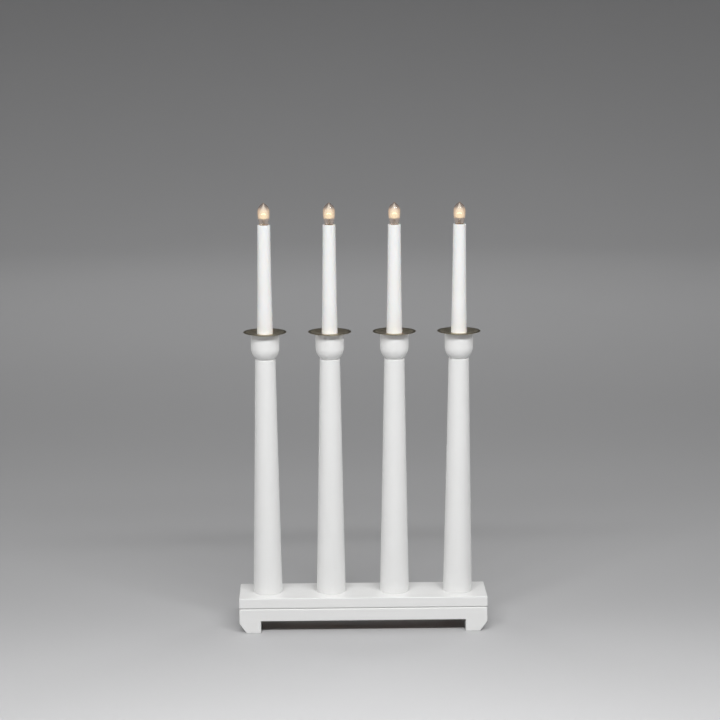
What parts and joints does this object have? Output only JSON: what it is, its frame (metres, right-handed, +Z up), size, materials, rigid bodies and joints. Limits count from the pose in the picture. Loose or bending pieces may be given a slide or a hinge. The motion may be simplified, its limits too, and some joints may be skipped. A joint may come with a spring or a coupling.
{
  "type": "electric candlestick",
  "caption": "White wooden electric candlestick: a low footed base carries a row of turned columns, each with a ball capital, brass drip plate, candle sleeve and small screw-in lamp.",
  "frame": {"origin": "middle of the base, on the surface that it stands on", "axes": "+X to the right along the row of lights, +Y to the back, +Z up; the front faces -Y"},
  "size_m": [0.27, 0.057, 0.4666],
  "materials": {
    "base_paint": "white satin paint on wood",
    "column_paint": "white satin paint on turned wood",
    "plate_brass": "antique brass finish, satin",
    "sleeve_plastic": "slightly translucent white, half gloss",
    "holder_plastic": "plain moulded",
    "contact_brass": "bare, bright",
    "cap_brass": "bare, bright",
    "black_glass": "black glass insulator with a soldered end contact",
    "bulb_glass": "clear, warm tint",
    "lamp_mount": "glass stem, wires and lit filament",
    "hardboard": "bare hardboard",
    "steel": "plated",
    "lead_insulation": "soft insulation",
    "bush_plastic": "plain moulded"
  },
  "bodies": {
    "candlestick": {"base_board": "base_paint", "base_frame": "base_paint", "cable_cover": "hardboard", "cable_cover_screw_1": "steel", "cable_cover_screw_2": "steel", "cable_cover_screw_3": "steel", "cable_cover_screw_4": "steel", "cord_bush": "bush_plastic", "link_lead_1": "lead_insulation", "link_lead_2": "lead_insulation", "link_lead_3": "lead_insulation", "supply_lead_left": "lead_insulation", "crimp_sleeve_left": "steel", "supply_lead_right": "lead_insulation", "crimp_sleeve_right": "steel", "column_1": "column_paint", "capital_1": "column_paint", "drip_plate_1": "plate_brass", "candle_sleeve_1": "sleeve_plastic", "lampholder_body_1": "holder_plastic", "threaded_shell_1": "contact_brass", "centre_contact_1": "contact_brass", "column_2": "column_paint", "capital_2": "column_paint", "drip_plate_2": "plate_brass", "candle_sleeve_2": "sleeve_plastic", "lampholder_body_2": "holder_plastic", "threaded_shell_2": "contact_brass", "centre_contact_2": "contact_brass", "column_3": "column_paint", "capital_3": "column_paint", "drip_plate_3": "plate_brass", "candle_sleeve_3": "sleeve_plastic", "lampholder_body_3": "holder_plastic", "threaded_shell_3": "contact_brass", "centre_contact_3": "contact_brass", "column_4": "column_paint", "capital_4": "column_paint", "drip_plate_4": "plate_brass", "candle_sleeve_4": "sleeve_plastic", "lampholder_body_4": "holder_plastic", "threaded_shell_4": "contact_brass", "centre_contact_4": "contact_brass"},
    "lamp_1_lift": {"lamp_contact_1": "black_glass"},
    "lamp_1": {"lamp_cap_1": "cap_brass", "lamp_glass_1": "bulb_glass", "lamp_mount_1": "lamp_mount"},
    "lamp_2_lift": {"lamp_contact_2": "black_glass"},
    "lamp_2": {"lamp_cap_2": "cap_brass", "lamp_glass_2": "bulb_glass", "lamp_mount_2": "lamp_mount"},
    "lamp_3_lift": {"lamp_contact_3": "black_glass"},
    "lamp_3": {"lamp_cap_3": "cap_brass", "lamp_glass_3": "bulb_glass", "lamp_mount_3": "lamp_mount"},
    "lamp_4_lift": {"lamp_contact_4": "black_glass"},
    "lamp_4": {"lamp_cap_4": "cap_brass", "lamp_glass_4": "bulb_glass", "lamp_mount_4": "lamp_mount"}
  },
  "joints": [
    {"name": "lamp_1_travel", "type": "slide", "parent": "candlestick", "child": "lamp_1_lift", "axis": [0, 0, 1], "range_m": [0, 0.00635]},
    {"name": "lamp_1_turn", "type": "hinge", "parent": "lamp_1_lift", "child": "lamp_1", "pos_m": [-0.1041, 0, 0.44], "axis": [0, 0, 1], "range_deg": [0, 1260]},
    {"name": "lamp_2_travel", "type": "slide", "parent": "candlestick", "child": "lamp_2_lift", "axis": [0, 0, 1], "range_m": [0, 0.00635]},
    {"name": "lamp_2_turn", "type": "hinge", "parent": "lamp_2_lift", "child": "lamp_2", "pos_m": [-0.0347, 0, 0.44], "axis": [0, 0, 1], "range_deg": [0, 1260]},
    {"name": "lamp_3_travel", "type": "slide", "parent": "candlestick", "child": "lamp_3_lift", "axis": [0, 0, 1], "range_m": [0, 0.00635]},
    {"name": "lamp_3_turn", "type": "hinge", "parent": "lamp_3_lift", "child": "lamp_3", "pos_m": [0.0347, 0, 0.44], "axis": [0, 0, 1], "range_deg": [0, 1260]},
    {"name": "lamp_4_travel", "type": "slide", "parent": "candlestick", "child": "lamp_4_lift", "axis": [0, 0, 1], "range_m": [0, 0.00635]},
    {"name": "lamp_4_turn", "type": "hinge", "parent": "lamp_4_lift", "child": "lamp_4", "pos_m": [0.1041, 0, 0.44], "axis": [0, 0, 1], "range_deg": [0, 1260]}
  ],
  "couplings": [
    {"joint": "lamp_1_turn", "follows": "lamp_1_travel", "rad_per_m": 3463.7},
    {"joint": "lamp_2_turn", "follows": "lamp_2_travel", "rad_per_m": 3463.7},
    {"joint": "lamp_3_turn", "follows": "lamp_3_travel", "rad_per_m": 3463.7},
    {"joint": "lamp_4_turn", "follows": "lamp_4_travel", "rad_per_m": 3463.7}
  ]
}
